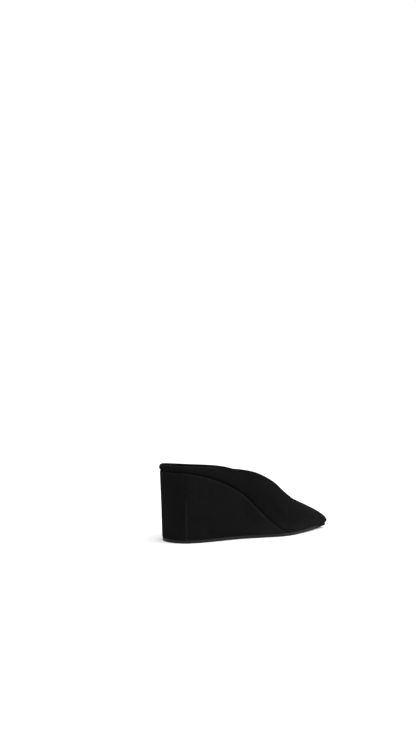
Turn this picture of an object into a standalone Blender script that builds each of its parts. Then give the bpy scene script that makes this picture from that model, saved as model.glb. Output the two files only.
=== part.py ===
"""A pointed wedge mule, right shoe: outsole, wedge, footbed and one hollow upper.

Metres, +Z up, heel to toe along +X, the inner side of the foot towards +Y. The origin is on the floor
under the middle of the shoe.
"""
import math

import bmesh
import bpy
import numpy as np

# Overall form of the last
SHOE_LENGTH = 0.237        # back of the heel to the tip of the toe, at the feather line
BALL_WIDTH = 0.077         # across the ball at the feather line
SEAT_HEIGHT = 0.084        # floor to the feather line at the heel
TOE_SPRING = 0.003         # how far the sole lifts off the floor at its tip
HEEL_ROUNDING = 0.032      # length in which the back turns into the sides
TOE_ROUNDING = 0.008       # length in which the sides close at the tip

# Outsole and wedge
OUTSOLE_THICKNESS = 0.0038
OUTSOLE_EDGE = 0.0006      # rounding of the outsole's lower edge
HEEL_LEAN = 0.00175        # how far forward the wedge's back stands at the floor
LEAN_REACH = 0.5           # share of the length over which the sole's outline follows that lean
SOLE_TUCK = 0.0022         # how far the outsole lies inside the feather line at the forepart
TIP_TUCK = 0.0020          # the same at the tip, along the shoe
TIP_START = 0.7            # share of the length where the sole starts to draw back from the tip
WEDGE_TIP = 0.0009         # thickness of the wedge where it ends under the ball
HEEL_POWER = 2.65          # fullness of the heel's round outline at the feather line, 2 is an ellipse
BACK_DEPTH = 0.0315        # at the floor the back is an arc of this depth, which meets the sides at a corner
BACK_FULLNESS = 1.05       # breadth of that arc as a share of the shoe's breadth
CORNER_REACH = 0.034       # length in which the sides draw in towards that corner
CORNER_DRAW = 0.22         # share of the breadth by which they would draw in at the back
CORNER_CURVE = 1.3         # power of the curve in which they draw in

# Upper and footbed
BAND_HEIGHT = 0.0070       # rim over the feather line round the heel
THROAT_HEIGHT = 0.0440     # rim over the floor at the foot of the throat
UPPER_WALL = 0.0022
UPPER_BULGE = 0.0018       # how far the handles of the wall's curve stand out
FOOTBED_THICKNESS = 0.0038
FOOTBED_EDGE = 0.0010      # rounding of the footbed's upper edge
FIT_GAP = 0.0003           # between pieces that meet
NARROWEST = 0.0006         # half breadth at which the footbed ends

# Fineness of the meshes
SIDE_STATIONS = 42
WALL_ROWS = 13
ROW_SPACING = 1.15         # above 1, the wall's rows stand closer at the feather line
RIM_STEPS = 4
WEDGE_ROWS = 6
MERGE_DISTANCE = 1e-6
SHARP_ANGLE = 40

# The last's outline: along the shoe as a share of the length, half breadths on the outer and the inner
# side as shares of half the ball width, and the sole's tuck as a share of SOLE_TUCK
OUTLINE_COLUMNS = ("along", "outer", "inner", "tuck")
OUTLINE = (
    (0.00, 0.760, 0.760, 0.00),
    (0.18, 0.780, 0.775, 0.00),
    (0.35, 0.750, 0.710, 0.05),
    (0.50, 0.880, 0.760, 0.05),
    (0.61, 1.000, 0.920, 0.10),
    (0.68, 0.955, 0.985, 0.60),
    (0.75, 0.810, 0.915, 1.00),
    (0.86, 0.500, 0.595, 1.00),
    (0.95, 0.225, 0.260, 1.00),
    (1.00, 0.110, 0.110, 1.00),
)

# The seat: height of the feather line over the outsole as a share of its height at the heel
SEAT_COLUMNS = ("along", "height")
SEAT = (
    (0.000, 1.000),
    (0.040, 1.000),
    (0.085, 0.978),
    (0.167, 0.919),
    (0.285, 0.798),
    (0.345, 0.708),
    (0.402, 0.600),
    (0.457, 0.441),
    (0.513, 0.281),
    (0.568, 0.133),
    (0.623, 0.030),
    (0.660, 0.000),
    (1.000, 0.000),
)

# The upper's rim, a row for each station angle, 0 at the middle of the back and 180 at the toe's tip:
# along as a share of the length, half breadth as a share of half the ball width, and height as the
# share of the way from the throat's foot up to the rim at the heel
RIM_COLUMNS = ("angle", "along", "breadth", "height")
RIM = (
    (0, 0.003, 0.000, 1.000),
    (30, 0.061, 0.725, 0.998),
    (45, 0.146, 0.752, 0.966),
    (60, 0.247, 0.742, 0.923),
    (75, 0.358, 0.735, 0.871),
    (90, 0.457, 0.720, 0.776),
    (105, 0.540, 0.662, 0.612),
    (120, 0.604, 0.562, 0.436),
    (135, 0.654, 0.420, 0.260),
    (150, 0.694, 0.272, 0.103),
    (165, 0.726, 0.132, 0.012),
    (180, 0.742, 0.000, 0.000),
)

# The wall between feather line and rim is a cubic curve: its lower handle rises by a share of the wall's
# height, its upper handle reaches out towards the feather line by a share of the way in plan and drops
# by a share of the wall's height; both stand out by shares of UPPER_BULGE
WALL_COLUMNS = ("angle", "rise", "reach", "drop", "low_bulge", "high_bulge")
WALL = (
    (0, 0.32, 0.00, 0.28, 0.80, 1.60),
    (45, 0.32, 0.05, 0.28, 1.10, 1.10),
    (75, 0.32, 0.25, 0.30, 1.20, 0.50),
    (105, 0.32, 0.42, 0.30, 1.10, 0.30),
    (135, 0.30, 0.43, 0.34, 1.00, 0.10),
    (160, 0.28, 0.44, 0.36, 1.30, 0.00),
    (180, 0.29, 0.44, 0.36, 1.50, 0.00),
)

SUEDE = (0.012, 0.011, 0.011)
LINING = (0.016, 0.015, 0.015)
SOLE_BLACK = (0.020, 0.020, 0.021)


def smooth(columns, table, name, at, flat_ends=False):
    """Value of a column at a place or an array of places, by a cubic curve that never overshoots a row."""
    rows = np.array(table, float)
    x = rows[:, 0]
    y = rows[:, columns.index(name)]
    step = np.diff(x)
    slope = np.diff(y) / step
    tangent = np.zeros_like(y)
    for k in range(1, len(y) - 1):
        if slope[k - 1] * slope[k] > 0:
            before = 2 * step[k] + step[k - 1]
            after = step[k] + 2 * step[k - 1]
            tangent[k] = (before + after) / (before / slope[k - 1] + after / slope[k])
    if not flat_ends:
        tangent[0] = slope[0]
        tangent[-1] = slope[-1]
    at = np.clip(at, x[0], x[-1])
    k = np.clip(np.searchsorted(x, at) - 1, 0, len(x) - 2)
    t = (at - x[k]) / step[k]
    return ((2 * t ** 3 - 3 * t ** 2 + 1) * y[k] + (t ** 3 - 2 * t ** 2 + t) * step[k] * tangent[k]
            + (3 * t ** 2 - 2 * t ** 3) * y[k + 1] + (t ** 3 - t ** 2) * step[k] * tangent[k + 1])


def unit(vectors):
    return vectors / np.linalg.norm(vectors, axis=-1, keepdims=True)


ANGLES = np.linspace(0, 180, SIDE_STATIONS + 1)
STATION_X = SHOE_LENGTH * (1 - np.cos(np.radians(ANGLES))) / 2


def spring(x):
    """Lift of the outsole's underside, flat up to where the seat has come down."""
    start = SEAT[-2][0] * SHOE_LENGTH
    return TOE_SPRING * np.clip((x - start) / (SHOE_LENGTH - start), 0, 1) ** 2


def outsole_top(x):
    return OUTSOLE_THICKNESS + spring(x)


def seat_rise(x):
    """Height of the wedge's top over the outsole."""
    return (SEAT_HEIGHT - OUTSOLE_THICKNESS) * smooth(SEAT_COLUMNS, SEAT, "height", x / SHOE_LENGTH)


STATION_Z = outsole_top(STATION_X) + FIT_GAP / 2 + seat_rise(STATION_X)
STATION_HALF_GAP = FIT_GAP / 2 * np.hypot(1, np.gradient(STATION_Z, STATION_X))


def feather_height(x):
    """Height of the feather line, straight between stations so that all pieces share its facets."""
    return np.interp(x, STATION_X, STATION_Z)


def half_gap(x):
    """Half the height of the gap at the feather line, taller where the seat slopes."""
    return np.interp(x, STATION_X, STATION_HALF_GAP)


def half_breadth(x, side, heel_closing):
    """Half breadth of the last's outline, closed at the heel by a share and rounded at the tip."""
    breadth = smooth(OUTLINE_COLUMNS, OUTLINE, side, x / SHOE_LENGTH) * BALL_WIDTH / 2
    toe = np.clip((SHOE_LENGTH - x) / TOE_ROUNDING, 0, 1)
    return breadth * heel_closing * np.sqrt(1 - (1 - toe) ** 2)


def round_closing(x):
    """Share of the breadth at the feather line's round back."""
    heel = 1 - np.clip(x / HEEL_ROUNDING, 0, 1)
    return (1 - heel ** HEEL_POWER) ** (1 / HEEL_POWER)


def cornered_closing(x):
    """Share of the breadth at the floor, where an arc round the back meets the sides at a corner."""
    back = 1 - np.clip(x / BACK_DEPTH, 0, 1)
    draw = CORNER_DRAW * np.clip(1 - x / CORNER_REACH, 0, 1) ** CORNER_CURVE
    return np.minimum(BACK_FULLNESS * np.sqrt(1 - back ** 2), 1 - draw)


def sole_line(side):
    """The sole's outline on one side, a point in plan for each station."""
    share = STATION_X / SHOE_LENGTH
    tuck = smooth(OUTLINE_COLUMNS, OUTLINE, "tuck", share)
    breadth = half_breadth(STATION_X, side, cornered_closing(STATION_X))
    tucked = np.maximum(breadth - SOLE_TUCK * tuck, breadth * (1 - tuck / 2))
    lean = HEEL_LEAN * (1 - np.clip(share / LEAN_REACH, 0, 1)) ** 2
    tip = TIP_TUCK * np.clip((share - TIP_START) / (1 - TIP_START), 0, 1) ** 2
    return np.stack([STATION_X + lean - tip, tucked], axis=1)


def loop(outer, inner):
    """Closed line round the shoe from its two sides: outer side heel to toe, then inner side back."""
    outer = outer * np.array([1, -1] + [1] * (outer.shape[1] - 2))
    return np.concatenate([outer, inner[-2:0:-1]])


def feather_loop():
    sides = []
    for side in ("outer", "inner"):
        breadth = half_breadth(STATION_X, side, round_closing(STATION_X))
        sides.append(np.stack([STATION_X, breadth, STATION_Z + STATION_HALF_GAP], axis=1))
    return loop(*sides)


def rim_loop():
    along = smooth(RIM_COLUMNS, RIM, "along", ANGLES, flat_ends=True) * SHOE_LENGTH
    breadth = smooth(RIM_COLUMNS, RIM, "breadth", ANGLES) * BALL_WIDTH / 2
    share = smooth(RIM_COLUMNS, RIM, "height", ANGLES, flat_ends=True)
    height = THROAT_HEIGHT + share * (SEAT_HEIGHT + BAND_HEIGHT - THROAT_HEIGHT)
    side = np.stack([along, breadth, height], axis=1)
    return loop(side, side)


def around(values):
    """A value for each station, repeated for the way back along the inner side."""
    return np.concatenate([values, values[-2:0:-1]])[:, None]


def plan_outward(line):
    """Unit vectors in plan that point out of a closed line."""
    run = np.roll(line, -1, axis=0) - np.roll(line, 1, axis=0)
    out = np.stack([-run[:, 1], run[:, 0], np.zeros(len(line))], axis=1)
    return -unit(out)


def upper_surfaces():
    """Outer and inner surface of the upper, rows from the feather line to the rim."""
    feather = feather_loop()
    rim = rim_loop()
    outward = plan_outward(feather)
    up = np.array([0, 0, 1.0])
    values = {name: around(smooth(WALL_COLUMNS, WALL, name, ANGLES, flat_ends=True)) for name in WALL_COLUMNS}
    rise = (rim - feather) * up
    plan = (feather - rim) * (1 - up)
    low = feather + rise * values["rise"] + outward * UPPER_BULGE * values["low_bulge"]
    high = rim + plan * values["reach"] - rise * values["drop"] + outward * UPPER_BULGE * values["high_bulge"]
    edge = rim - unit(rim - high) * UPPER_WALL / 2
    t = (np.linspace(0, 1, WALL_ROWS) ** ROW_SPACING)[:, None, None]
    outer = (1 - t) ** 3 * feather + 3 * t * (1 - t) ** 2 * low + 3 * t ** 2 * (1 - t) * high + t ** 3 * edge
    across = np.roll(outer, -1, axis=1) - np.roll(outer, 1, axis=1)
    along = np.gradient(outer, axis=0)
    normal = unit(np.cross(across, along))
    inner = outer - normal * UPPER_WALL
    inner[0] = feather - outward * UPPER_WALL
    inner[0, :, 2] = feather_height(inner[0, :, 0]) + half_gap(inner[0, :, 0])
    floor = feather_height(inner[1:, :, 0]) + half_gap(inner[1:, :, 0]) + FIT_GAP
    inner[1:, :, 2] = np.maximum(inner[1:, :, 2], floor)
    return outer, inner, unit(edge - outer[-2])


def material(name, colour, roughness):
    finish = bpy.data.materials.new(name)
    finish.use_nodes = True
    shader = finish.node_tree.nodes["Principled BSDF"]
    shader.inputs["Base Color"].default_value = (*colour, 1)
    shader.inputs["Roughness"].default_value = roughness
    shader.inputs["Metallic"].default_value = 0
    return finish


def add_object(name, mesh_data, finish):
    mesh = bpy.data.meshes.new(name)
    mesh_data.to_mesh(mesh)
    mesh_data.free()
    mesh.materials.append(finish)
    mesh.shade_smooth()
    mesh.set_sharp_from_angle(angle=math.radians(SHARP_ANGLE))
    obj = bpy.data.objects.new(name, mesh)
    bpy.context.collection.objects.link(obj)
    return obj


def skin(name, sections, finish, ring=False):
    """One closed body over a row of closed sections; a ring has no ends, and pointed ends are merged."""
    bm = bmesh.new()
    rows = [[bm.verts.new(point) for point in section] for section in sections]
    pairs = list(zip(rows, rows[1:] + rows[:1])) if ring else list(zip(rows, rows[1:]))
    for near, far in pairs:
        for k in range(len(near)):
            m = (k + 1) % len(near)
            bm.faces.new((near[k], near[m], far[m], far[k]))
    if not ring:
        bm.faces.new(rows[0])
        bm.faces.new(rows[-1])
    bmesh.ops.remove_doubles(bm, verts=bm.verts, dist=MERGE_DISTANCE)
    bmesh.ops.dissolve_degenerate(bm, edges=bm.edges, dist=MERGE_DISTANCE)
    bmesh.ops.recalc_face_normals(bm, faces=bm.faces)
    return add_object(name, bm, finish)


def plate_sections(rows):
    """Sections across the shoe from rows of points up its side, each row one pair of sides."""
    sections = []
    for k in range(len(rows[0][0])):
        outer = [(row[0][k][0], -row[0][k][1], row[0][k][2]) for row in rows]
        inner = [(row[1][k][0], row[1][k][1], row[1][k][2]) for row in reversed(rows)]
        sections.append(outer + inner)
    return sections


def outsole(finish):
    """The thin sole, flat from the heel to the ball and lifted to the tip, its lower edge eased."""
    sides = [sole_line("outer"), sole_line("inner")]
    rows = []
    for inset, lift in ((OUTSOLE_EDGE, 0), (0, OUTSOLE_EDGE), (0, OUTSOLE_THICKNESS)):
        pair = []
        for line in sides:
            x = line[:, 0] + inset * np.cos(np.radians(ANGLES))
            y = np.maximum(line[:, 1] - inset, line[:, 1] / 2)
            pair.append(np.stack([x, y, spring(line[:, 0]) + lift], axis=1))
        rows.append(pair)
    return skin("outsole", plate_sections(rows), finish)


def wedge_front():
    """Where the wedge has thinned to its tip, found by halving."""
    thick = 0.0
    thin = SEAT[-2][0] * SHOE_LENGTH
    while thin - thick > MERGE_DISTANCE:
        middle = (thick + thin) / 2
        if seat_rise(middle) - FIT_GAP > WEDGE_TIP:
            thick = middle
        else:
            thin = middle
    return thick


def wedge(finish):
    """The covered wedge: ruled between the sole's outline and the feather line, its front a thin edge."""
    front = wedge_front()
    inside = STATION_X < front - FIT_GAP
    x = np.append(STATION_X[inside], front)
    rows = []
    for share in np.linspace(0, 1, WEDGE_ROWS):
        pair = []
        for side in ("outer", "inner"):
            sole = sole_line(side)
            sole_x = np.interp(x, STATION_X, sole[:, 0])
            sole_y = np.interp(x, STATION_X, sole[:, 1])
            top_y = np.interp(x, STATION_X, half_breadth(STATION_X, side, round_closing(STATION_X)))
            blend_x = sole_x + (x - sole_x) * share
            blend_y = sole_y + (top_y - sole_y) * share
            bottom = outsole_top(sole_x) + FIT_GAP
            top = feather_height(x) - half_gap(x)
            pair.append(np.stack([blend_x, blend_y, bottom + (top - bottom) * share], axis=1))
        rows.append(pair)
    return skin("wedge", plate_sections(rows), finish)


def upper(finish):
    """The one-piece upper: a hollow wall from the feather line to a folded rim, open at top and bottom."""
    outer, inner, tangent = upper_surfaces()
    centre = (outer[-1] + inner[-1]) / 2
    arm = outer[-1] - centre
    radius = np.linalg.norm(arm, axis=1, keepdims=True)
    rows = list(outer)
    for step in range(1, RIM_STEPS):
        turn = math.pi * step / RIM_STEPS
        rows.append(centre + arm * math.cos(turn) + tangent * radius * math.sin(turn))
    rows.extend(inner[::-1])
    return skin("upper", rows, finish, ring=True)


def footbed(finish):
    """The padded insole on the wedge and the outsole, fitted inside the upper's wall."""
    outer_wall, inner_wall, _ = upper_surfaces()
    feather = feather_loop()
    outward = plan_outward(feather)
    depth = np.einsum("rjk,jk->rj", feather - inner_wall, outward)
    height = inner_wall[:, :, 2] - feather[:, 2]
    count = len(ANGLES)
    rows = []
    edge = FOOTBED_EDGE
    steps = ((0, 0), (0.5, 0), (1 - edge / FOOTBED_THICKNESS, 0), (1, edge))
    for share, extra in steps:
        level = share * FOOTBED_THICKNESS
        inset = np.empty(len(feather))
        for j in range(len(feather)):
            below = height[:, j] <= level + FOOTBED_EDGE
            inset[j] = depth[below, j].max() + FIT_GAP + extra
        line = feather - outward * inset[:, None]
        line[:, 2] = feather_height(line[:, 0]) + half_gap(line[:, 0]) + level
        outer = line[:count] * np.array([1, -1, 1])
        inner = np.concatenate([line[:1], line[:count - 2:-1]])
        rows.append([outer, inner])
    wide = [k for k in range(1, count) if min(row[s][k][1] for row in rows for s in (0, 1)) > NARROWEST]
    keep = [0] + wide
    rows = [[side[keep] for side in row] for row in rows]
    return skin("footbed", plate_sections(rows), finish)


def stand_on_origin(objects):
    """Puts the origin under the middle of the whole shoe, on the floor."""
    corners = np.array([tuple(vertex.co) for obj in objects for vertex in obj.data.vertices])
    middle = (corners.min(axis=0) + corners.max(axis=0)) / 2
    for obj in objects:
        obj.location = (-middle[0], -middle[1], -corners[:, 2].min())


def main():
    for obj in list(bpy.data.objects):
        bpy.data.objects.remove(obj, do_unlink=True)
    suede = material("suede", SUEDE, 0.95)
    lining = material("lining", LINING, 0.75)
    sole_black = material("sole_black", SOLE_BLACK, 0.55)
    pieces = [outsole(sole_black), wedge(suede), upper(suede), footbed(lining)]
    stand_on_origin(pieces)


main()
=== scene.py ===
"""Looks of a black suede wedge mule, right shoe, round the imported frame. Metres, +Z up, toe towards +X."""
import math

import bmesh
import bpy
import numpy as np
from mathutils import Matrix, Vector, noise


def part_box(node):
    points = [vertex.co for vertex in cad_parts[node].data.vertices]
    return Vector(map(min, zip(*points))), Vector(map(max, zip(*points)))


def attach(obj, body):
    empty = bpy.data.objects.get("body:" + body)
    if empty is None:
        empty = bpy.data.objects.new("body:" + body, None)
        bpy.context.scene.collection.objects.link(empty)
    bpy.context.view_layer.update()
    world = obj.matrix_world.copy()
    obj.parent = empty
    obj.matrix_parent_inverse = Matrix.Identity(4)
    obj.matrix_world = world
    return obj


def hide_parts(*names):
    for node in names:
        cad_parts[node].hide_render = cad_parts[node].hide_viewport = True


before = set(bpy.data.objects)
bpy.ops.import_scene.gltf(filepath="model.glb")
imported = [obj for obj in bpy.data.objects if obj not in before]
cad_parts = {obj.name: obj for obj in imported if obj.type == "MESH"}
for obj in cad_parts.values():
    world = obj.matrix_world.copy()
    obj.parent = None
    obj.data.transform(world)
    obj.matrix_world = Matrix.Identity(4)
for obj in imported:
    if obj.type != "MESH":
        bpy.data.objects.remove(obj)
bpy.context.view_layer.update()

# The last, with the sizes and tables of the part's source
SHOE_LENGTH = 0.237
BALL_WIDTH = 0.077
SEAT_HEIGHT = 0.084
TOE_SPRING = 0.003
HEEL_ROUNDING = 0.032
TOE_ROUNDING = 0.008
OUTSOLE_THICKNESS = 0.0038
HEEL_LEAN = 0.00175
LEAN_REACH = 0.5
SOLE_TUCK = 0.0022
TIP_TUCK = 0.0020
TIP_START = 0.7
WEDGE_TIP = 0.0009
HEEL_POWER = 2.65
BACK_DEPTH = 0.0315
BACK_FULLNESS = 1.05
CORNER_REACH = 0.034
CORNER_DRAW = 0.22
CORNER_CURVE = 1.3
BAND_HEIGHT = 0.0070
THROAT_HEIGHT = 0.0440
UPPER_WALL = 0.0022
UPPER_BULGE = 0.0018
FOOTBED_THICKNESS = 0.0038
NARROWEST = 0.0006

OUTLINE_COLUMNS = ("along", "outer", "inner", "tuck")
OUTLINE = (
    (0.00, 0.760, 0.760, 0.00),
    (0.18, 0.780, 0.775, 0.00),
    (0.35, 0.750, 0.710, 0.05),
    (0.50, 0.880, 0.760, 0.05),
    (0.61, 1.000, 0.920, 0.10),
    (0.68, 0.955, 0.985, 0.60),
    (0.75, 0.810, 0.915, 1.00),
    (0.86, 0.500, 0.595, 1.00),
    (0.95, 0.225, 0.260, 1.00),
    (1.00, 0.110, 0.110, 1.00),
)
SEAT_COLUMNS = ("along", "height")
SEAT = (
    (0.000, 1.000),
    (0.040, 1.000),
    (0.085, 0.978),
    (0.167, 0.919),
    (0.285, 0.798),
    (0.345, 0.708),
    (0.402, 0.600),
    (0.457, 0.441),
    (0.513, 0.281),
    (0.568, 0.133),
    (0.623, 0.030),
    (0.660, 0.000),
    (1.000, 0.000),
)
RIM_COLUMNS = ("angle", "along", "breadth", "height")
RIM = (
    (0, 0.003, 0.000, 1.000),
    (30, 0.061, 0.725, 0.998),
    (45, 0.146, 0.752, 0.966),
    (60, 0.247, 0.742, 0.923),
    (75, 0.358, 0.735, 0.871),
    (90, 0.457, 0.720, 0.776),
    (105, 0.540, 0.662, 0.612),
    (120, 0.604, 0.562, 0.436),
    (135, 0.654, 0.420, 0.260),
    (150, 0.694, 0.272, 0.103),
    (165, 0.726, 0.132, 0.012),
    (180, 0.742, 0.000, 0.000),
)
WALL_COLUMNS = ("angle", "rise", "reach", "drop", "low_bulge", "high_bulge")
WALL = (
    (0, 0.32, 0.00, 0.28, 0.80, 1.60),
    (45, 0.32, 0.05, 0.28, 1.10, 1.10),
    (75, 0.32, 0.25, 0.30, 1.20, 0.50),
    (105, 0.32, 0.42, 0.30, 1.10, 0.30),
    (135, 0.30, 0.43, 0.34, 1.00, 0.10),
    (160, 0.28, 0.44, 0.36, 1.30, 0.00),
    (180, 0.29, 0.44, 0.36, 1.50, 0.00),
)

# Finer forms that only show here
GAP = 0.00010                   # half the gap between dressed pieces that meet
NAP = 0.00025                   # the suede's pile, proud of the surface that the frame gives
EDGE_NAP = 0.7                  # share of it at the wedge's rounded edges
NAP_FULL = 0.25                 # share of the upper's turned edge above which it is full
SUEDE_WAVE = 0.00014            # soft unevenness of glued suede
WAVE_LENGTH = 0.020
UPPER_WAVES = 3.0               # where in the noise the upper's waves are read
WEDGE_WAVES = 7.0               # and the wedge's

# Wedge's cover
CORNER_SOFT_LOW = 0.012         # rounding where arc and side meet at the floor, a share of the breadth
CORNER_SOFT_HIGH = 0.30         # the same where the corner has faded
CORNER_FADE = (0.030, 0.060)    # heights between which it fades
WEDGE_ROLL = 0.0015             # rounded upper edge
WEDGE_ROLL_SHARE = 0.45         # and the most of it as a share of the wedge's height
WEDGE_HEM = 0.0006              # rounded lower edge
WEDGE_HEM_SHARE = 0.3           # and the most of it as a share of the wedge's height
WEDGE_SIDE_ROWS = 30
LAST_SIDE_ROW = 0.983           # share of the side's height at one more row, close under the roll
LEAST_HEIGHT = 1e-6             # keeps a share of the height finite where the wedge has none

# Upper and lining
UPPER_TURN = 0.0050             # most of the wall that turns in to the seam at its lower edge
TURN_SHARE = 0.4                # and the most of it as a share of the wall
UPPER_TUCK = 0.0014             # how far it turns in
LINING_WALL = 0.0006            # thickness of the lining, a part of the upper's wall
ROW_LIFT = 1e-5                 # keeps rows inside the wall apart where they stand on the feather line
STITCH_PITCH = 0.0026
STITCH_LENGTH = 0.0020
STITCH_THICKNESS = 0.00040
STITCH_SIDES = 8
STITCH_AIM = 0.0004             # distance either way over which a stitch takes its direction
STITCH_SUNK = 0.8               # fullness at which a stitch's surface lies in the lining's

# A stitch along its length. Columns: place along, fullness, as shares of length and thickness
STITCH = (
    (-0.50, 0.15),
    (-0.42, 0.70),
    (-0.20, 1.00),
    (0.20, 1.00),
    (0.42, 0.70),
    (0.50, 0.15),
)

# Sock and sole
FOOTBED_ROLL = 0.0014           # rounded upper edge of the padded insole
SOCK_HEM_IN = 0.0004            # how far its lower edge is eased inwards
SOCK_HEM_UP = 0.0003            # and upwards
SOCK_CLEARANCE = 0.0005         # height over each row of the sock up to which the lining's reach is read
SOCK_LOW = 0.8                  # share of its thickness up to which that is read for the least inset
SOCK_LEAST = 0.5                # share of that inset which every row keeps
SOCK_CROWN = 0.00035            # how far its padding rises in the middle
SOLE_ROUND = 0.0005             # rounded lower edge of the sole
SOLE_EASE = 0.0004              # its upper edge, only eased
SOLE_TIP_SHADE = 0.8            # how much darker and duller the sole is at its tip
SOLE_TIP_REACH = (0.84, 0.94)   # shares of the shoe's length between which that comes up

# Dishes of the sock at heel and ball. Columns: depth, and where it starts, is full, wanes and ends
DISHES = (
    (0.0008, 0.000, 0.022, 0.045, 0.085),
    (0.0004, 0.115, 0.140, 0.165, 0.195),
)

# Painted light and shade on the suede: above 0 is lighter, below 0 darker. Reaches are shares of the shoe's
# length
SEAM_SHADE = 0.8                # painted shade: how dark the suede is made in the groove at the seam
SEAM_POWER = 1.2                # how fast that ends up the upper's turned edge
SEAM_DEPTH = 0.0003             # how far down the wedge it reaches
SEAM_END = (0.36, 0.62)         # where it goes out along the upper
CREASE_X = 0.0145               # station of the wedge's corner, where a painted highlight runs down it
CREASE_WIDTH = 0.0008
CREASE_HIGHLIGHT = 1.7
EDGE_HIGHLIGHT = 0.9                 # painted highlight: how light the wedge is made under its upper edge
EDGE_DEPTH = 0.0016             # how far under the seam that is strongest
EDGE_DEEPER = 0.0022            # and how much farther towards the wedge's tip
EDGE_REACH = (0.36, 0.52)       # where that is added
EDGE_SPREAD = 0.62              # its spread as a share of the depth
TIP_PAINTED_LIGHT = 0.9                  # painted light: how much lighter the wedge is made low down towards its tip
TIP_REACH = (0.34, 0.56)        # where that comes up
TIP_HEIGHTS = (0.004, 0.024)    # heights over the sole between which it ends
TOE_HIGHLIGHT = 0.85                 # painted highlight: how much lighter the upper is made at the tip of the toe
TOE_REACH = (0.78, 0.98)        # where that comes up
FRONT_PAINTED_LIGHT = 0.9                # painted light: how much lighter it is made close to the sole at the forepart
FRONT_REACH = (0.48, 0.64)      # where that comes up
FRONT_HEIGHT = 0.018            # height over the seam at which it ends

# Fineness of the meshes
SIDE_STATIONS = 150
SMOOTHING = 12
CURVE_STEPS = 240
RIM_STEPS = 10
ROLL_STEPS = 6
HEM_STEPS = 3
SOLE_STEPS = 5
WEDGE_STRIPS = 2
SOCK_STRIPS = 24
SOLE_STRIPS = 6
MERGE_DISTANCE = 1e-7
SHARP_ANGLE = 50

# Rows up the upper's wall: shares of UPPER_TURN, rows between, distances from its rim
LOW_SHARES = (0.0, 0.03, 0.07, 0.12, 0.18, 0.27, 0.38, 0.52, 0.68, 0.84, 1.0)
MIDDLE_ROWS = 24
HIGH_ROWS = (0.0032, 0.0028, 0.0024, 0.0020, 0.0016, 0.0012, 0.0008, 0.0004, 0.0)
HEM_ROW = HIGH_ROWS.index(0.0012) - len(HIGH_ROWS)  # where the rim's fold ends inside
STITCH_ROW = 2                  # rows under the lining's edge

# Colours, linear
UPPER_BLACK = (0.0050, 0.0047, 0.0048)
WEDGE_BLACK = (0.0055, 0.0053, 0.0053)
LINING_BLACK = (0.016, 0.015, 0.015)
SOCK_BLACK = (0.014, 0.013, 0.013)
SOLE_BLACK = (0.0068, 0.0068, 0.0072)
THREAD_BLACK = (0.018, 0.017, 0.017)
FLOOR_WHITE = (0.93, 0.93, 0.93)
PAINTED_LIGHT_GAIN = 0.55                # how much lighter than its colour suede is at a painted light of 1
LEATHER_ROUGHNESS = 0.75

# Studio
FLOOR_SIZE = 60
SKY_STRENGTH = 1.12
LIGHT_AIM = (0.0, 0.0, 0.03)

# Lights. Columns: name, place, size, power
LIGHTS = (
    ("overhead", (0.1, -0.2, 1.3), 1.2, 6.0),
    ("toe_side", (1.0, -0.7, 0.7), 0.8, 13.0),
)

# Camera fitted to the photograph: a point at the heel, where it shows, and the view to it
FRAME_PIXELS = (416, 739)
CAMERA_AZIMUTH = -29.0
CAMERA_ELEVATION = 9.25
CAMERA_DISTANCE = 1.4
CAMERA_FOCAL_PIXELS = 1176.0
CAMERA_TARGET = (0.010, -0.020, 0.0)
TARGET_PIXEL = (179.8, 543.5)
SENSOR_WIDTH = 36.0

ANGLES = np.linspace(0, 180, SIDE_STATIONS + 1)
STATION_X = SHOE_LENGTH * (1 - np.cos(np.radians(ANGLES))) / 2
UP = np.array([0, 0, 1.0])


def last_origin():
    """Where the last's own origin, on the floor under the middle of its back, lies in the frame."""
    back = min(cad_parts["wedge"].data.vertices, key=lambda vertex: vertex.co.x).co
    return np.array([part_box("wedge")[0].x, back.y, 0.0])


ORIGIN = last_origin()


def smooth(columns, table, name, at, flat_ends=False):
    """Value of a column at an array of places, by a cubic curve that never overshoots a row."""
    rows = np.array(table, float)
    x = rows[:, 0]
    y = rows[:, columns.index(name)]
    step = np.diff(x)
    slope = np.diff(y) / step
    tangent = np.zeros_like(y)
    for k in range(1, len(y) - 1):
        if slope[k - 1] * slope[k] > 0:
            before = 2 * step[k] + step[k - 1]
            after = step[k] + 2 * step[k - 1]
            tangent[k] = (before + after) / (before / slope[k - 1] + after / slope[k])
    if not flat_ends:
        tangent[0] = slope[0]
        tangent[-1] = slope[-1]
    at = np.clip(at, x[0], x[-1])
    k = np.clip(np.searchsorted(x, at) - 1, 0, len(x) - 2)
    t = (at - x[k]) / step[k]
    return ((2 * t ** 3 - 3 * t ** 2 + 1) * y[k] + (t ** 3 - 2 * t ** 2 + t) * step[k] * tangent[k]
            + (3 * t ** 2 - 2 * t ** 3) * y[k + 1] + (t ** 3 - t ** 2) * step[k] * tangent[k + 1])


def unit(vectors):
    """Vectors at length 1."""
    return vectors / np.linalg.norm(vectors, axis=-1, keepdims=True)


def fade(value, start, end):
    """0 before start, 1 after end, and a soft step between them."""
    t = np.clip((value - start) / (end - start), 0, 1)
    return t * t * (3 - 2 * t)


def fair(line):
    """A closed line with its small kinks smoothed out."""
    for _ in range(SMOOTHING):
        line = (np.roll(line, 1, axis=0) + 2 * line + np.roll(line, -1, axis=0)) / 4
    return line


def spring(x):
    """How far the sole is lifted towards its tip."""
    start = SEAT[-2][0] * SHOE_LENGTH
    return TOE_SPRING * np.clip((x - start) / (SHOE_LENGTH - start), 0, 1) ** 2


def outsole_top(x):
    """Height of the sole's upper face."""
    return OUTSOLE_THICKNESS + spring(x)


def seat_rise(x):
    """Height of the wedge's top over the outsole."""
    return (SEAT_HEIGHT - OUTSOLE_THICKNESS) * smooth(SEAT_COLUMNS, SEAT, "height", x / SHOE_LENGTH)


def feather_height(x):
    """Height of the seam between wedge and upper."""
    return outsole_top(x) + GAP + seat_rise(x)


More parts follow.
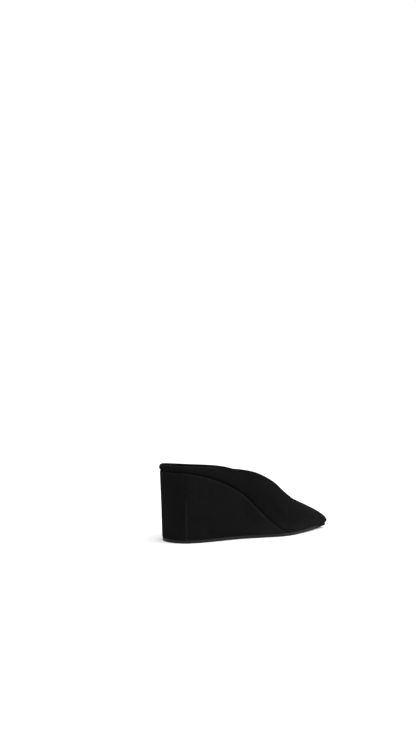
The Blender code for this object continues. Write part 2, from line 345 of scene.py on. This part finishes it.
def table_breadth(x, side):
    """Half breadth of the outline's table, closed round the toe."""
    toe = np.clip((SHOE_LENGTH - x) / TOE_ROUNDING, 0, 1)
    breadth = smooth(OUTLINE_COLUMNS, OUTLINE, side, x / SHOE_LENGTH) * BALL_WIDTH / 2
    return breadth * np.sqrt(1 - (1 - toe) ** 2)


def half_breadth(x, side):
    """Half breadth of the last's outline at the feather line."""
    heel = 1 - np.clip(x / HEEL_ROUNDING, 0, 1)
    return table_breadth(x, side) * (1 - heel ** HEEL_POWER) ** (1 / HEEL_POWER)


def cornered_closing(x, softness):
    """Share of the breadth at the floor: an arc round the back meets the sides at a soft corner."""
    back = 1 - np.clip(x / BACK_DEPTH, 0, 1)
    arc = BACK_FULLNESS * np.sqrt(1 - back ** 2)
    flank = 1 - CORNER_DRAW * np.clip(1 - x / CORNER_REACH, 0, 1) ** CORNER_CURVE
    meet = np.clip(0.5 + (flank - arc) / (2 * softness), 0, 1)
    rounded = flank + (arc - flank) * meet - softness * meet * (1 - meet)
    return np.where(x > BACK_DEPTH, np.minimum(flank, 1), rounded)


def sole_side(side, softness):
    """The sole's outline on one side, with a softness of its corner for each station or for all."""
    share = STATION_X / SHOE_LENGTH
    tuck = smooth(OUTLINE_COLUMNS, OUTLINE, "tuck", share)
    breadth = table_breadth(STATION_X, side) * cornered_closing(STATION_X, softness)
    tucked = np.maximum(breadth - SOLE_TUCK * tuck, breadth * (1 - tuck / 2))
    lean = HEEL_LEAN * (1 - np.clip(share / LEAN_REACH, 0, 1)) ** 2
    tip = TIP_TUCK * np.clip((share - TIP_START) / (1 - TIP_START), 0, 1) ** 2
    return np.stack([STATION_X + lean - tip, tucked, STATION_X * 0], axis=1)


def loop(outer, inner):
    """Closed line round the shoe from its two sides: outer side heel to toe, then inner side back."""
    return np.concatenate([outer * np.array([1, -1, 1]), inner[-2:0:-1]])


def two_sides(line):
    """The outer and the inner side of a closed line, both from heel to toe."""
    count = SIDE_STATIONS + 1
    return line[:count], np.concatenate([line[:1], line[:count - 2:-1]])


def around(values):
    """A value for each station, repeated for the way back along the inner side."""
    return np.concatenate([values, values[-2:0:-1]])[:, None]


def plan_outward(line):
    """Unit vectors in plan that point out of a closed line."""
    run = np.roll(line, -1, axis=0) - np.roll(line, 1, axis=0)
    return unit(np.stack([run[:, 1], -run[:, 0], run[:, 0] * 0], axis=1))


def feather_loop():
    """The line round the shoe where wedge and upper meet."""
    sides = [np.stack([STATION_X, half_breadth(STATION_X, side), STATION_X * 0], axis=1)
             for side in ("outer", "inner")]
    line = fair(loop(*sides))
    line[:, 2] = feather_height(line[:, 0]) + GAP
    return line


def rim_loop():
    """The upper's rim: band round the back, sides and throat."""
    along = smooth(RIM_COLUMNS, RIM, "along", ANGLES, flat_ends=True) * SHOE_LENGTH
    breadth = smooth(RIM_COLUMNS, RIM, "breadth", ANGLES) * BALL_WIDTH / 2
    share = smooth(RIM_COLUMNS, RIM, "height", ANGLES, flat_ends=True)
    height = THROAT_HEIGHT + share * (SEAT_HEIGHT + BAND_HEIGHT - THROAT_HEIGHT)
    side = np.stack([along, breadth, height], axis=1)
    return fair(loop(side, side))


FEATHER = feather_loop()
OUTWARD = plan_outward(FEATHER)
COLUMNS = len(FEATHER)


def wall_rows():
    """The upper's outer surface before its edges are worked: rows from the feather line to the rim."""
    rim = rim_loop()
    values = {name: around(smooth(WALL_COLUMNS, WALL, name, ANGLES, flat_ends=True))
              for name in WALL_COLUMNS}
    rise = (rim - FEATHER) * UP
    plan = (FEATHER - rim) * (1 - UP)
    out = OUTWARD * UPPER_BULGE
    low = FEATHER + rise * values["rise"] + out * values["low_bulge"]
    high = rim + plan * values["reach"] - rise * values["drop"] + out * values["high_bulge"]
    edge = rim - unit(rim - high) * UPPER_WALL / 2
    t = np.linspace(0, 1, CURVE_STEPS + 1)[:, None, None]
    fine = (1 - t) ** 3 * FEATHER + 3 * t * (1 - t) ** 2 * low + 3 * t ** 2 * (1 - t) * high + t ** 3 * edge
    rows = np.empty((len(LOW_SHARES) + MIDDLE_ROWS + len(HIGH_ROWS), COLUMNS, 3))
    for j in range(COLUMNS):
        path = fine[:, j]
        run = np.concatenate([[0], np.cumsum(np.linalg.norm(np.diff(path, axis=0), axis=1))])
        turn = min(UPPER_TURN, run[-1] * TURN_SHARE)
        between = np.linspace(turn, run[-1] - HIGH_ROWS[0], MIDDLE_ROWS + 2)[1:-1]
        places = np.concatenate([np.array(LOW_SHARES) * turn, between, run[-1] - np.array(HIGH_ROWS)])
        for axis in range(3):
            rows[:, j, axis] = np.interp(places, run, path[:, axis])
    return rows


def wall_normals(rows):
    """Unit vectors out of a surface of closed rows."""
    across = np.roll(rows, -1, axis=1) - np.roll(rows, 1, axis=1)
    return unit(np.cross(across, np.gradient(rows, axis=0)))


WALL_SURFACE = wall_rows()
WALL_NORMAL = wall_normals(WALL_SURFACE)


def inside_wall(depth):
    """Rows at a depth inside the wall's outer surface, standing on the feather line's height."""
    rows = WALL_SURFACE - WALL_NORMAL * depth
    rows[0] = FEATHER - OUTWARD * depth[0]
    floor = feather_height(rows[:, :, 0]) + GAP + np.arange(len(rows))[:, None] * ROW_LIFT
    rows[:, :, 2] = np.maximum(rows[:, :, 2], floor)
    return rows


def uneven(points, seed):
    """Soft waves, as suede has where it is glued down, one value for each point."""
    offset = Vector((seed, seed * 2, seed * 3))
    values = [noise.noise(Vector(point) / WAVE_LENGTH + offset) for point in points.reshape(-1, 3)]
    return np.array(values).reshape(points.shape[:-1] + (1,)) * SUEDE_WAVE


def add_mesh(name, vertices, faces, finish, painted_light_and_tone=None):
    """One closed mesh object in the frame, with an optional value for each vertex: painted light and shade
    on the suede, a darker tip on the sole.
    """
    mesh = bpy.data.meshes.new(name)
    mesh.from_pydata((np.asarray(vertices) + ORIGIN).tolist(), [], faces)
    if painted_light_and_tone is not None:
        layer = mesh.attributes.new("painted_light_and_tone", "FLOAT", "POINT")
        layer.data.foreach_set("value", np.asarray(painted_light_and_tone, np.float32))
    bm = bmesh.new()
    bm.from_mesh(mesh)
    bmesh.ops.remove_doubles(bm, verts=bm.verts, dist=MERGE_DISTANCE)
    bmesh.ops.dissolve_degenerate(bm, edges=bm.edges, dist=MERGE_DISTANCE)
    bmesh.ops.recalc_face_normals(bm, faces=bm.faces)
    bm.to_mesh(mesh)
    bm.free()
    mesh.materials.append(finish)
    mesh.shade_smooth()
    mesh.set_sharp_from_angle(angle=math.radians(SHARP_ANGLE))
    obj = bpy.data.objects.new(name, mesh)
    bpy.context.collection.objects.link(obj)
    return obj


def band_faces(first, second, columns):
    """Quads between two rows whose points go round."""
    return [(first + k, first + (k + 1) % columns, second + (k + 1) % columns, second + k)
            for k in range(columns)]


def ring_piece(name, rows, finish, painted_light_and_tone):
    """A body that goes right round, its section a closed line of rows."""
    grid = np.array(rows)
    count, columns = grid.shape[:2]
    faces = []
    for r in range(count):
        faces.extend(band_faces(r * columns, (r + 1) % count * columns, columns))
    return add_mesh(name, grid.reshape(-1, 3), faces, finish, np.array(painted_light_and_tone).reshape(-1))


def capped_piece(name, rings, finish, painted_light_and_tone, across, top=None):
    """A body of closed rings from bottom to top, closed by strips across the shoe.

    Each ring is a pair of sides from heel to toe, joined across its front. top adds a height across
    the upper strips."""
    vertices = []
    faces = []
    light_and_tone = []
    count = len(rings[0][0])
    points = 2 * count + across - 1
    share = np.linspace(0, 1, across + 1)[None, :, None]
    grids = [outer[:, None] * (1 - share) + inner[:, None] * share for outer, inner in rings]
    if top is not None:
        grids[-1][:, :, 2] += top(grids[-1][:, :, 0], share[:, :, 0])
    for grid, value in zip(grids, painted_light_and_tone):
        vertices.extend(np.concatenate([grid[:, 0], grid[-1, 1:-1], grid[::-1, -1]]))
        front = np.full(across - 1, (value[0][-1] + value[1][-1]) / 2)
        light_and_tone.extend(np.concatenate([value[0], front, value[1][::-1]]))
    for r in range(len(rings) - 1):
        faces.extend(band_faces(r * points, (r + 1) * points, points))
    for grid, value in ((grids[0], painted_light_and_tone[0]), (grids[-1], painted_light_and_tone[-1])):
        start = len(vertices)
        vertices.extend(grid.reshape(-1, 3))
        light_and_tone.extend(np.repeat((value[0] + value[1]) / 2, across + 1))
        for k in range(count - 1):
            for m in range(across):
                a = start + k * (across + 1) + m
                faces.append((a, a + 1, a + across + 2, a + across + 1))
    return add_mesh(name, vertices, faces, finish, light_and_tone)


def quarter(steps):
    """Angles of a quarter turn."""
    return np.radians(np.linspace(0, 90, steps + 1))


def upper_suede(finish):
    """The one-piece upper: lower edge turned in, rim folded over, open below and at the collar."""
    skin = UPPER_WALL - LINING_WALL
    lift = np.ones((len(WALL_SURFACE), 1, 1))
    lift[:len(LOW_SHARES), 0, 0] = LOW_SHARES
    turned = UPPER_TUCK * (1 - np.sqrt(1 - (1 - lift) ** 2))
    proud = NAP + uneven(WALL_SURFACE, UPPER_WAVES)
    outer = WALL_SURFACE - OUTWARD * turned + WALL_NORMAL * proud * np.minimum(lift / NAP_FULL, 1)
    depth = np.full((len(outer), 1, 1), skin)
    depth[HEM_ROW + 1:] = UPPER_WALL
    inner = inside_wall(depth)
    centre = (outer[-1] + inner[-1]) / 2
    arm = outer[-1] - centre
    radius = np.linalg.norm(arm, axis=1, keepdims=True)
    tangent = unit(WALL_SURFACE[-1] - WALL_SURFACE[-3])
    rows = list(outer)
    along = FEATHER[:, 0] / SHOE_LENGTH
    # painted highlight at the tip of the toe
    toe = TOE_HIGHLIGHT * fade(along, *TOE_REACH)
    # painted light low on the forepart, close to the sole
    front = fade(along, *FRONT_REACH)
    # painted shade in the groove at the seam, up the upper's turned edge
    seam = SEAM_SHADE * (1 - fade(along, *SEAM_END))
    painted_light_and_tone = []
    for row, share in zip(outer, lift[:, 0, 0]):
        low = 1 - fade(row[:, 2] - FEATHER[:, 2], 0.0, FRONT_HEIGHT)
        forepart_and_toe_light = np.maximum(toe * share, FRONT_PAINTED_LIGHT * front * low)
        painted_light_and_tone.append(forepart_and_toe_light - seam * (1 - share) ** SEAM_POWER)
    for step in range(1, RIM_STEPS):
        turn = math.pi * step / RIM_STEPS
        rows.append(centre + arm * math.cos(turn) + tangent * radius * math.sin(turn))
        # painted highlight along the fold of the rim
        painted_light_and_tone.append(np.full(COLUMNS, math.sin(turn)))
    rows.extend(inner[::-1])
    painted_light_and_tone.extend([np.zeros(COLUMNS)] * len(inner))
    return ring_piece("upper_suede", rows, finish, painted_light_and_tone)


def lining_rows():
    """The lining's two faces, up to its edge under the folded rim."""
    deep = np.full((len(WALL_SURFACE), 1, 1), UPPER_WALL + GAP)
    return inside_wall(deep - LINING_WALL)[:HEM_ROW + 1], inside_wall(deep)[:HEM_ROW + 1]


def upper_lining(finish):
    """The lining inside the upper, a part of its wall."""
    near, far = lining_rows()
    rows = list(far) + list(near[::-1])
    return ring_piece("upper_lining", rows, finish, [np.zeros(COLUMNS)] * len(rows))


def rim_stitches(finish):
    """A row of stitches inside, close under the lining's edge."""
    far = lining_rows()[1]
    line = far[-1 - STITCH_ROW]
    inward = -WALL_NORMAL[HEM_ROW - STITCH_ROW]
    closed = np.concatenate([line, line[:1]])
    run = np.concatenate([[0], np.cumsum(np.linalg.norm(np.diff(closed, axis=0), axis=1))])
    count = int(run[-1] / STITCH_PITCH)
    facing = np.concatenate([inward, inward[:1]])
    vertices = []
    faces = []

    def read(values, place):
        return np.array([np.interp(place % run[-1], run, values[:, axis]) for axis in range(3)])

    for k in range(count):
        middle = run[-1] * (k + 0.5) / count
        start = len(vertices)
        along = unit(read(closed, middle + STITCH_AIM) - read(closed, middle - STITCH_AIM))
        out = unit(read(facing, middle))
        up = unit(np.cross(along, out))
        for place, fullness in STITCH:
            centre = read(closed, middle + place * STITCH_LENGTH)
            centre = centre + out * STITCH_THICKNESS * (fullness - STITCH_SUNK) * 0.5
            for s in range(STITCH_SIDES):
                turn = 2 * math.pi * s / STITCH_SIDES
                arm = (out * math.cos(turn) + up * math.sin(turn)) * fullness * STITCH_THICKNESS / 2
                vertices.append(centre + arm)
        for r in range(len(STITCH) - 1):
            faces.extend(band_faces(start + r * STITCH_SIDES, start + (r + 1) * STITCH_SIDES, STITCH_SIDES))
        end = start + (len(STITCH) - 1) * STITCH_SIDES
        faces.append(tuple(range(start, start + STITCH_SIDES)))
        faces.append(tuple(range(end, end + STITCH_SIDES)))
    return add_mesh("rim_stitches", vertices, faces, finish)


def wedge_front():
    """Station where the wedge has thinned to its tip."""
    return int(np.nonzero(seat_rise(STATION_X) - 2 * GAP > WEDGE_TIP)[0][-1])


def wedge_cover(finish):
    """The suede-covered wedge: ruled sides, corners at the back that fade upwards, rounded edges."""
    last = wedge_front() + 1
    tops = two_sides(FEATHER)
    levels = [("hem", turn) for turn in quarter(HEM_STEPS)]
    levels += [("side", share) for share in (*np.linspace(0, 1, WEDGE_SIDE_ROWS)[1:-1], LAST_SIDE_ROW)]
    levels += [("roll", turn) for turn in quarter(ROLL_STEPS)]
    rings = []
    painted_light_and_tone = []
    for kind, value in levels:
        lines = []
        light_and_tone = []
        for side, top_line in zip(("outer", "inner"), tops):
            sole_x = sole_side(side, CORNER_SOFT_LOW)[:, 0]
            bottom = outsole_top(sole_x) + GAP
            top = feather_height(top_line[:, 0]) - GAP
            height = top - bottom
            roll = np.minimum(WEDGE_ROLL, WEDGE_ROLL_SHARE * height)
            hem = np.minimum(WEDGE_HEM, WEDGE_HEM_SHARE * height)
            if kind == "hem":
                level = hem * (1 - math.cos(value))
                inset = hem * (1 - math.sin(value))
            elif kind == "side":
                level = hem + (height - hem - roll) * value
                inset = height * 0
            else:
                level = height - roll * (1 - math.sin(value))
                inset = roll * (1 - math.cos(value))
            share = (level / np.maximum(height, LEAST_HEIGHT))[:, None]
            softness = CORNER_SOFT_LOW + (CORNER_SOFT_HIGH - CORNER_SOFT_LOW) * fade(level, *CORNER_FADE)
            sole = sole_side(side, softness)
            reach = np.abs(top_line * np.array([1, 1, 0]))
            line = sole + (reach - sole) * share
            line[:, 2] = bottom + level
            lines.append((line, inset))
            below = height - level
            # painted highlight on the wedge close under its upper edge
            depth = EDGE_DEPTH + EDGE_DEEPER * fade(STATION_X / SHOE_LENGTH, *EDGE_REACH)
            under_edge_highlight = EDGE_HIGHLIGHT * np.exp(-((below - depth) / (EDGE_SPREAD * depth)) ** 2)
            # painted shade in the groove just under the seam
            shaded = SEAM_SHADE * np.exp(-(below / SEAM_DEPTH) ** 2)
            # painted highlight down the wedge's back corner, fading upwards
            crease = CREASE_HIGHLIGHT * np.exp(-((STATION_X - CREASE_X) / CREASE_WIDTH) ** 2)
            crease *= 1 - fade(level, *CORNER_FADE)
            # painted light, lighter low down towards the wedge's tip
            tip = TIP_PAINTED_LIGHT * fade(STATION_X / SHOE_LENGTH, *TIP_REACH) * (1 - fade(level, *TIP_HEIGHTS))
            light_and_tone.append(np.maximum(np.maximum(crease, tip), under_edge_highlight - shaded)[:last])
        ring = loop(lines[0][0], lines[1][0])
        inward = -plan_outward(ring) * around(lines[0][1])
        body = plan_outward(ring) * (NAP + uneven(ring, WEDGE_WAVES))
        outer, inner = two_sides(ring + inward + body * (1 if kind == "side" else EDGE_NAP))
        rings.append((outer[:last], inner[:last]))
        painted_light_and_tone.append(light_and_tone)
    return capped_piece("wedge_cover", rings, finish, painted_light_and_tone, WEDGE_STRIPS)


def footbed_sock(finish):
    """The padded insole: a crowned edge all round, a shallow dish under the heel and the ball."""
    far = lining_rows()[1]
    depth = np.einsum("rjk,jk->rj", FEATHER - far, OUTWARD)
    height = far[:, :, 2] - FEATHER[:, 2]
    straight = FOOTBED_THICKNESS - FOOTBED_ROLL
    levels = [(0.0, SOCK_HEM_IN), (SOCK_HEM_UP, 0.0), (straight / 2, 0.0)]
    levels += [(straight + FOOTBED_ROLL * math.sin(turn), FOOTBED_ROLL * (1 - math.cos(turn)))
               for turn in quarter(ROLL_STEPS)]
    clear = np.array([depth[height[:, j] <= FOOTBED_THICKNESS * SOCK_LOW, j].max() for j in range(COLUMNS)])
    rings = []
    for level, extra in levels:
        reach = np.array([depth[height[:, j] <= level + SOCK_CLEARANCE, j].max() for j in range(COLUMNS)])
        inset = np.maximum(reach, clear * SOCK_LEAST) + GAP + extra
        line = FEATHER - OUTWARD * inset[:, None]
        line[:, 2] = feather_height(line[:, 0]) + GAP + level
        outer, inner = two_sides(line)
        rings.append((outer, inner))
    wide = [k for k in range(1, SIDE_STATIONS) if min(-ring[0][k][1] for ring in rings) > NARROWEST
            and min(ring[1][k][1] for ring in rings) > NARROWEST]
    keep = [0] + wide
    rings = [(outer[keep], inner[keep]) for outer, inner in rings]
    painted_light_and_tone = [(np.zeros(len(keep)), np.zeros(len(keep)))] * len(rings)

    def dish(x, share):
        bowl = (1 - (2 * share - 1) ** 2) ** 2
        rise = SOCK_CROWN * (1 - (2 * share - 1) ** 4)
        for deep, start, full, wane, end in DISHES:
            rise = rise - deep * bowl * (fade(x, start, full) * (1 - fade(x, wane, end)))
        return rise

    return capped_piece("footbed_sock", rings, finish, painted_light_and_tone, SOCK_STRIPS, dish)


def outsole_sheet(finish):
    """The thin sole: rounded lower edge, eased upper edge."""
    levels = [(SOLE_ROUND * (1 - math.cos(turn)), SOLE_ROUND * (1 - math.sin(turn)))
              for turn in quarter(SOLE_STEPS)]
    levels += [(OUTSOLE_THICKNESS / 2, 0.0)]
    levels += [(OUTSOLE_THICKNESS - SOLE_EASE * (1 - math.sin(turn)), SOLE_EASE * (1 - math.cos(turn)))
               for turn in quarter(HEM_STEPS)]
    ring = loop(*(sole_side(side, CORNER_SOFT_LOW) for side in ("outer", "inner")))
    outward = plan_outward(ring)
    rings = []
    for level, inset in levels:
        line = ring - outward * inset
        line[:, 2] = spring(ring[:, 0]) + level
        rings.append(two_sides(line))
    tip = -SOLE_TIP_SHADE * fade(STATION_X / SHOE_LENGTH, *SOLE_TIP_REACH)
    return capped_piece("outsole_sheet", rings, finish, [(tip, tip)] * len(rings), SOLE_STRIPS)


def add_node(tree, kind, **inputs):
    """A shader node whose inputs are given by name, as values or as other nodes' outputs."""
    made = tree.nodes.new(kind)
    for name, value in inputs.items():
        if name[0] == "i" and name[1:].isdigit():
            socket = made.inputs[int(name[1:])]
        elif name in ("operation", "attribute_name"):
            setattr(made, name, value)
            continue
        else:
            socket = made.inputs[name.replace("_", " ")]
        if isinstance(value, bpy.types.NodeSocket):
            tree.links.new(value, socket)
        else:
            socket.default_value = value
    return made


def new_material(name):
    """An empty material, its tree and the place on the object."""
    finish = bpy.data.materials.new(name)
    finish.use_nodes = True
    tree = finish.node_tree
    tree.nodes.clear()
    place = add_node(tree, "ShaderNodeTexCoord").outputs["Object"]
    return finish, tree, place


def grain(tree, place, scale, detail, low, high):
    """Noise mapped to a range, as a factor round 1."""
    spots = add_node(tree, "ShaderNodeTexNoise", Vector=place, Scale=scale, Detail=detail, Roughness=0.6)
    return add_node(tree, "ShaderNodeMapRange", Value=spots.outputs["Fac"], From_Min=0.3, From_Max=0.7,
                    To_Min=low, To_Max=high).outputs["Result"]


def times(tree, first, second):
    """Product of two values."""
    return add_node(tree, "ShaderNodeMath", operation="MULTIPLY", i0=first, i1=second).outputs["Value"]


def plus(tree, first, second):
    """Sum of two values."""
    return add_node(tree, "ShaderNodeMath", operation="ADD", i0=first, i1=second).outputs["Value"]


def tint(tree, colour, factor):
    """A colour times a factor."""
    made = add_node(tree, "ShaderNodeVectorMath", operation="SCALE", i0=colour, Scale=factor)
    return made.outputs["Vector"]


def bump(tree, height, distance, strength):
    """Normals that follow a fine relief."""
    made = add_node(tree, "ShaderNodeBump", Height=height, Distance=distance, Strength=strength)
    return made.outputs["Normal"]


def finish_with(tree, **inputs):
    """Ends a material with its shader."""
    shader = add_node(tree, "ShaderNodeBsdfPrincipled", **inputs)
    add_node(tree, "ShaderNodeOutputMaterial", Surface=shader.outputs["BSDF"])


def suede(name, colour):
    """Napped black suede: broad patches where the nap lies differently, a fine mottle, short fibres, and
    painted light and shade from a value on each vertex.
    """
    finish, tree, place = new_material(name)
    patches = grain(tree, place, scale=48.0, detail=2.0, low=0.90, high=1.10)
    mottle = grain(tree, place, scale=620.0, detail=3.0, low=0.78, high=1.22)
    fibres = grain(tree, place, scale=2600.0, detail=2.0, low=0.80, high=1.20)
    painted_light_and_tone = add_node(tree, "ShaderNodeAttribute", attribute_name="painted_light_and_tone").outputs["Fac"]
    # the value on each vertex paints light and shade into the suede's colour
    light_and_tone = plus(tree, times(tree, painted_light_and_tone, PAINTED_LIGHT_GAIN), 1.0)
    shade = times(tree, times(tree, patches, mottle), times(tree, fibres, light_and_tone))
    height = plus(tree, times(tree, mottle, 0.6), fibres)
    finish_with(tree, Base_Color=tint(tree, colour, shade), Roughness=0.95, Specular_IOR_Level=0.0,
                Sheen_Weight=0.007, Sheen_Roughness=0.5, Sheen_Tint=(1.0, 1.0, 1.0, 1.0),
                Normal=bump(tree, height, distance=0.00018, strength=0.55))
    return finish


def leather(name, colour):
    """Smooth lining leather with a fine pore."""
    finish, tree, place = new_material(name)
    patches = grain(tree, place, scale=60.0, detail=2.0, low=0.92, high=1.08)
    pores = add_node(tree, "ShaderNodeTexVoronoi", Vector=place, Scale=1500.0).outputs["Distance"]
    fine = grain(tree, place, scale=900.0, detail=2.0, low=0.93, high=1.07)
    shade = times(tree, patches, fine)
    finish_with(tree, Base_Color=tint(tree, colour, shade), Roughness=LEATHER_ROUGHNESS,
                Specular_IOR_Level=0.025, Normal=bump(tree, pores, distance=0.00008, strength=0.35))
    return finish


def sole_rubber(name, colour):
    """Thin sole of dark rubber, satin, finely grained, darker and duller at its tip."""
    finish, tree, place = new_material(name)
    painted_light_and_tone = add_node(tree, "ShaderNodeAttribute", attribute_name="painted_light_and_tone").outputs["Fac"]
    light_and_tone = plus(tree, painted_light_and_tone, 1.0)
    mottle = grain(tree, place, scale=380.0, detail=3.0, low=0.92, high=1.08)
    shade = times(tree, mottle, light_and_tone)
    fine = grain(tree, place, scale=1700.0, detail=2.0, low=0.0, high=1.0)
    finish_with(tree, Base_Color=tint(tree, colour, shade), Roughness=0.55,
                Specular_IOR_Level=times(tree, light_and_tone, 0.15),
                Normal=bump(tree, fine, distance=0.00006, strength=0.4))
    return finish


def thread(name, colour):
    """Twisted sewing thread."""
    finish, tree, place = new_material(name)
    twist = grain(tree, place, scale=3200.0, detail=1.0, low=0.8, high=1.2)
    finish_with(tree, Base_Color=tint(tree, colour, twist), Roughness=0.6, Specular_IOR_Level=0.3,
                Normal=bump(tree, twist, distance=0.00005, strength=0.5))
    return finish


def ground(name):
    """Matt white ground with hardly any grain."""
    finish, tree, place = new_material(name)
    shade = grain(tree, place, scale=30.0, detail=2.0, low=0.995, high=1.005)
    finish_with(tree, Base_Color=tint(tree, FLOOR_WHITE, shade), Roughness=1.0, Specular_IOR_Level=0.0)
    return finish


def add_camera():
    """The photograph's camera, level, with the heel's point where the photograph has it."""
    azimuth = math.radians(CAMERA_AZIMUTH)
    elevation = math.radians(CAMERA_ELEVATION)
    back = Vector((math.sin(azimuth) * math.cos(elevation), -math.cos(azimuth) * math.cos(elevation),
                   math.sin(elevation)))
    right = (TARGET_PIXEL[0] - FRAME_PIXELS[0] / 2) / CAMERA_FOCAL_PIXELS
    down = (TARGET_PIXEL[1] - FRAME_PIXELS[1] / 2) / CAMERA_FOCAL_PIXELS
    ray = math.sqrt(1 + right ** 2 + down ** 2)
    pitch = math.asin(-back.z * ray / math.sqrt(1 + down ** 2)) + math.atan(down)
    yaw = math.atan2(-back.y, -back.x) + math.atan2(right, math.cos(pitch) + down * math.sin(pitch))
    axis = Vector((math.cos(pitch) * math.cos(yaw), math.cos(pitch) * math.sin(yaw), math.sin(pitch)))
    data = bpy.data.cameras.new("camera")
    data.sensor_width = SENSOR_WIDTH
    data.lens = CAMERA_FOCAL_PIXELS * SENSOR_WIDTH / max(FRAME_PIXELS)
    camera = bpy.data.objects.new("camera", data)
    camera.location = Vector(CAMERA_TARGET) + Vector(ORIGIN) + back * CAMERA_DISTANCE
    camera.rotation_euler = axis.to_track_quat("-Z", "Y").to_euler()
    bpy.context.collection.objects.link(camera)
    bpy.context.scene.camera = camera


def add_light(name, place, size, power):
    """A square light aimed at the shoe."""
    data = bpy.data.lights.new(name, "AREA")
    data.size = size
    data.energy = power
    light = bpy.data.objects.new(name, data)
    light.location = place
    light.rotation_euler = (Vector(LIGHT_AIM) - Vector(place)).to_track_quat("-Z", "Y").to_euler()
    bpy.context.collection.objects.link(light)


def add_studio():
    """White ground and sky, a broad light overhead and one from the toe's side."""
    bpy.ops.mesh.primitive_plane_add(size=FLOOR_SIZE)
    floor = bpy.context.object
    floor.name = "floor"
    floor.data.materials.append(ground("ground"))
    world = bpy.data.worlds.new("world")
    world.use_nodes = True
    world.node_tree.nodes["Background"].inputs["Color"].default_value = (1.0, 1.0, 1.0, 1.0)
    world.node_tree.nodes["Background"].inputs["Strength"].default_value = SKY_STRENGTH
    bpy.context.scene.world = world
    bpy.context.scene.view_settings.view_transform = "Standard"
    for light in LIGHTS:
        add_light(*light)


def dress():
    """Makes the pieces, hangs them on the root body, and hides the parts of the frame that they stand for.
    """
    suede_finish = suede("black_suede", UPPER_BLACK)
    wedge_suede = suede("wedge_suede", WEDGE_BLACK)
    lining_finish = leather("lining_leather", LINING_BLACK)
    sock_finish = leather("sock_leather", SOCK_BLACK)
    sole_finish = sole_rubber("sole_rubber", SOLE_BLACK)
    thread_finish = thread("black_thread", THREAD_BLACK)
    pieces = (
        (upper_suede(suede_finish), "upper", "suede"),
        (upper_lining(lining_finish), "upper", "lining"),
        (rim_stitches(thread_finish), None, "lining"),
        (wedge_cover(wedge_suede), "wedge", "suede"),
        (footbed_sock(sock_finish), "footbed", "lining"),
        (outsole_sheet(sole_finish), "outsole", "sole_black"),
    )
    for piece, node, slot in pieces:
        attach(piece, "root")
        if node is not None:
            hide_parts(node)


add_camera()
add_studio()
dress()
